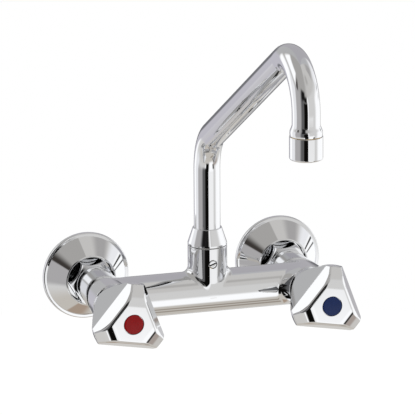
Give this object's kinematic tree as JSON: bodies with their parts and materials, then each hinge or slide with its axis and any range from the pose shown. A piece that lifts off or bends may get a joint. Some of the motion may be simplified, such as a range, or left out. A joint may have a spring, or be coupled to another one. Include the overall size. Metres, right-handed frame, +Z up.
{
  "type": "wall-mounted mixer tap",
  "caption": "Wall-mounted two-handle mixer tap: bar body on two eccentric wall unions with round flanges, three-armed handles and a raised swivelling tube spout with aerator.",
  "frame": {"origin": "on the finished wall, midway between the two supply pipes", "axes": "+X to the right as the user sees it, +Y into the wall, +Z up; the tap stands out along -Y"},
  "size_m": [0.216, 0.3296, 0.2652],
  "materials": {
    "chrome": "polished chrome plate on brass",
    "brass": "turned brass",
    "steel": "stainless steel, turned",
    "rubber": "black moulded rubber",
    "red_fibre": "pressed red fibre",
    "white_plastic": "moulded white plastic",
    "hot_red": "deep red gloss plastic",
    "cold_blue": "deep blue gloss plastic"
  },
  "bodies": {
    "tap_body": {"mixer_body": "chrome", "hot_wall_union": "chrome", "hot_wall_flange": "chrome", "hot_union_nut": "chrome", "hot_inlet_washer": "red_fibre", "hot_inlet_nipple": "brass", "hot_bonnet": "brass", "hot_bonnet_gasket": "red_fibre", "cold_wall_union": "chrome", "cold_wall_flange": "chrome", "cold_union_nut": "chrome", "cold_inlet_washer": "red_fibre", "cold_inlet_nipple": "brass", "cold_bonnet": "brass", "cold_bonnet_gasket": "red_fibre", "spout_slide_ring": "white_plastic", "spout_stop_screw": "chrome"},
    "hot_handle_set": {"hot_handle": "chrome", "hot_handle_screw": "steel", "hot_index_button": "hot_red", "hot_spindle": "brass", "hot_spindle_rings": "rubber", "hot_spindle_clip": "steel"},
    "hot_valve": {"hot_valve_piston": "brass", "hot_seat_washer": "rubber", "hot_washer_screw": "steel"},
    "cold_handle_set": {"cold_handle": "chrome", "cold_handle_screw": "steel", "cold_index_button": "cold_blue", "cold_spindle": "brass", "cold_spindle_rings": "rubber", "cold_spindle_clip": "steel"},
    "cold_valve": {"cold_valve_piston": "brass", "cold_seat_washer": "rubber", "cold_washer_screw": "steel"},
    "spout": {"spout_tube": "chrome", "spout_nipple": "brass", "spout_rings": "rubber", "spout_collar": "chrome", "outlet_ring": "brass", "aerator_housing": "chrome", "aerator_grid": "white_plastic", "aerator_flow_disc": "white_plastic", "aerator_gasket": "rubber"}
  },
  "joints": [
    {"name": "hot_handle_turn", "type": "hinge", "parent": "tap_body", "child": "hot_handle_set", "pos_m": [-0.075, -0.1, 0.006], "axis": [0, -1, 0], "range_deg": [0, 900]},
    {"name": "hot_piston_lift", "type": "slide", "parent": "tap_body", "child": "hot_valve", "axis": [0, -1, 0], "range_m": [0, 0.005]},
    {"name": "cold_handle_turn", "type": "hinge", "parent": "tap_body", "child": "cold_handle_set", "pos_m": [0.075, -0.1, 0.006], "axis": [0, -1, 0], "range_deg": [0, 900]},
    {"name": "cold_piston_lift", "type": "slide", "parent": "tap_body", "child": "cold_valve", "axis": [0, -1, 0], "range_m": [0, 0.005]},
    {"name": "spout_swivel", "type": "hinge", "parent": "tap_body", "child": "spout", "pos_m": [0, -0.068, 0.006], "axis": [0, 0, 1], "range_deg": [-100, 100]}
  ],
  "couplings": [
    {"joint": "hot_piston_lift", "follows": "hot_handle_turn", "m_per_rad": 0.000318},
    {"joint": "cold_piston_lift", "follows": "cold_handle_turn", "m_per_rad": 0.000318}
  ]
}
